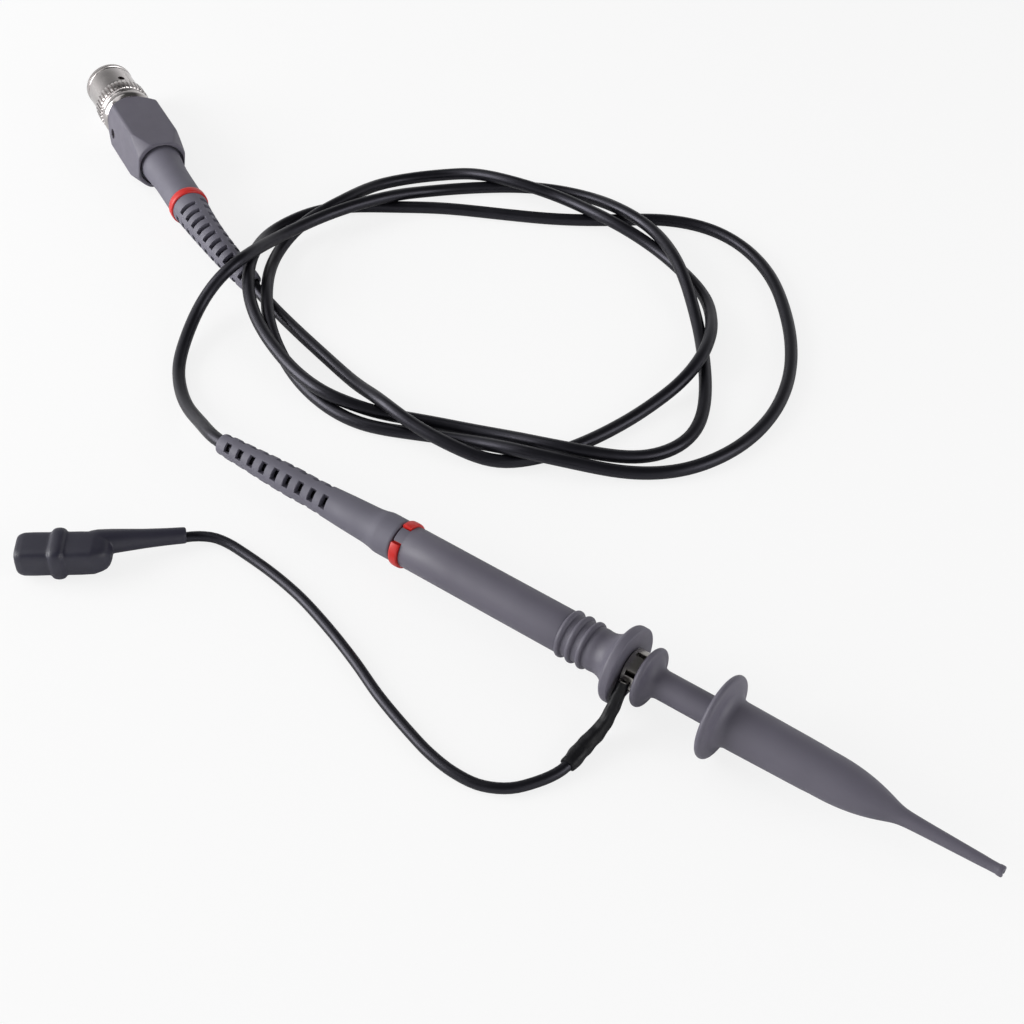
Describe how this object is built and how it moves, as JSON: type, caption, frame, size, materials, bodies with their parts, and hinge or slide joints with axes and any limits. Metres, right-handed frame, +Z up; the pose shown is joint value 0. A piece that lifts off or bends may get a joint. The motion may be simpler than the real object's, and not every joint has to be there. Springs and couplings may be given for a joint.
{
  "type": "oscilloscope probe",
  "caption": "Passive oscilloscope probe with a sprung hook tip, a ground lead with a crocodile clip, a coaxial cable in loose loops and a BNC plug with a compensation box.",
  "frame": {"origin": "on the bench, under the middle of the probe head", "axes": "+X along the probe head from its strain relief to its tip, +Z up, and the plug lies on the far left, towards -X and +Y"},
  "size_m": [0.3627, 0.2195, 0.0203],
  "materials": {
    "grey": "matt grey",
    "soft_grey": "matt grey, soft",
    "red": "bright red, semi-gloss",
    "nickel": "nickel plated",
    "steel": "bright",
    "gold": "bright",
    "white_plastic": "white, smooth",
    "black_jacket": "satin black",
    "shrink": "satin black",
    "boot_navy": "satin dark blue-black",
    "resistor": "pale blue lacquer",
    "board": "green laminate",
    "ceramic": "cream ceramic"
  },
  "bodies": {
    "probe": {"probe_body": "grey", "rear_boot": "soft_grey", "marker_ring": "red", "ground_barrel": "nickel", "tip_insulator": "white_plastic", "probe_needle": "steel", "input_resistor": "resistor", "cable_ferrule": "nickel", "ground_collar": "nickel", "lead_heatshrink": "shrink", "ground_lead": "black_jacket", "clip_boot": "boot_navy", "clip_jaw_fixed": "nickel", "clip_pin": "steel", "clip_spring": "steel", "probe_cable": "black_jacket", "bnc_body": "nickel", "bnc_insulator": "white_plastic", "bnc_pin": "gold", "bnc_gasket": "black_jacket", "bnc_washer": "steel", "comp_box": "grey", "comp_board": "board", "trimmer_body": "ceramic", "cable_boot": "soft_grey", "connector_ring": "red"},
    "sleeve": {"hook_sleeve": "grey"},
    "hook_tip": {"hook_tube": "grey", "hook_contact": "gold", "hook_wire": "steel", "return_spring": "steel"},
    "clip_jaw": {"clip_boot_thumb": "boot_navy", "clip_jaw_moving": "nickel"},
    "nut": {"bnc_nut": "nickel"},
    "trimmer": {"trimmer_screw": "gold"}
  },
  "joints": [
    {"name": "hook_tip_pull_off", "type": "slide", "parent": "probe", "child": "hook_tip", "axis": [1, 0, 0], "range_m": [0, 0.025]},
    {"name": "sleeve_slide", "type": "slide", "parent": "hook_tip", "child": "sleeve", "axis": [-1, 0, 0], "range_m": [0, 0.012], "stiffness_N_per_m": 150, "springref_m": -0.012, "deforming": ["return_spring"]},
    {"name": "clip_hinge", "type": "hinge", "parent": "probe", "child": "clip_jaw", "pos_m": [-0.1125, -0.0453, 0.0042], "axis": [0, 0, 1], "range_deg": [0, 18], "stiffness_Nm_per_rad": 0.08, "springref_deg": -34.38},
    {"name": "nut_turn", "type": "hinge", "parent": "probe", "child": "nut", "pos_m": [-0.24704, 0.10095, 0.00823], "axis": [0.8957, -0.4446, 0], "continuous": true},
    {"name": "trimmer_turn", "type": "hinge", "parent": "probe", "child": "trimmer", "pos_m": [-0.23164, 0.08745, 0.00703], "axis": [0.4392, 0.8847, -0.1564], "continuous": true}
  ]
}
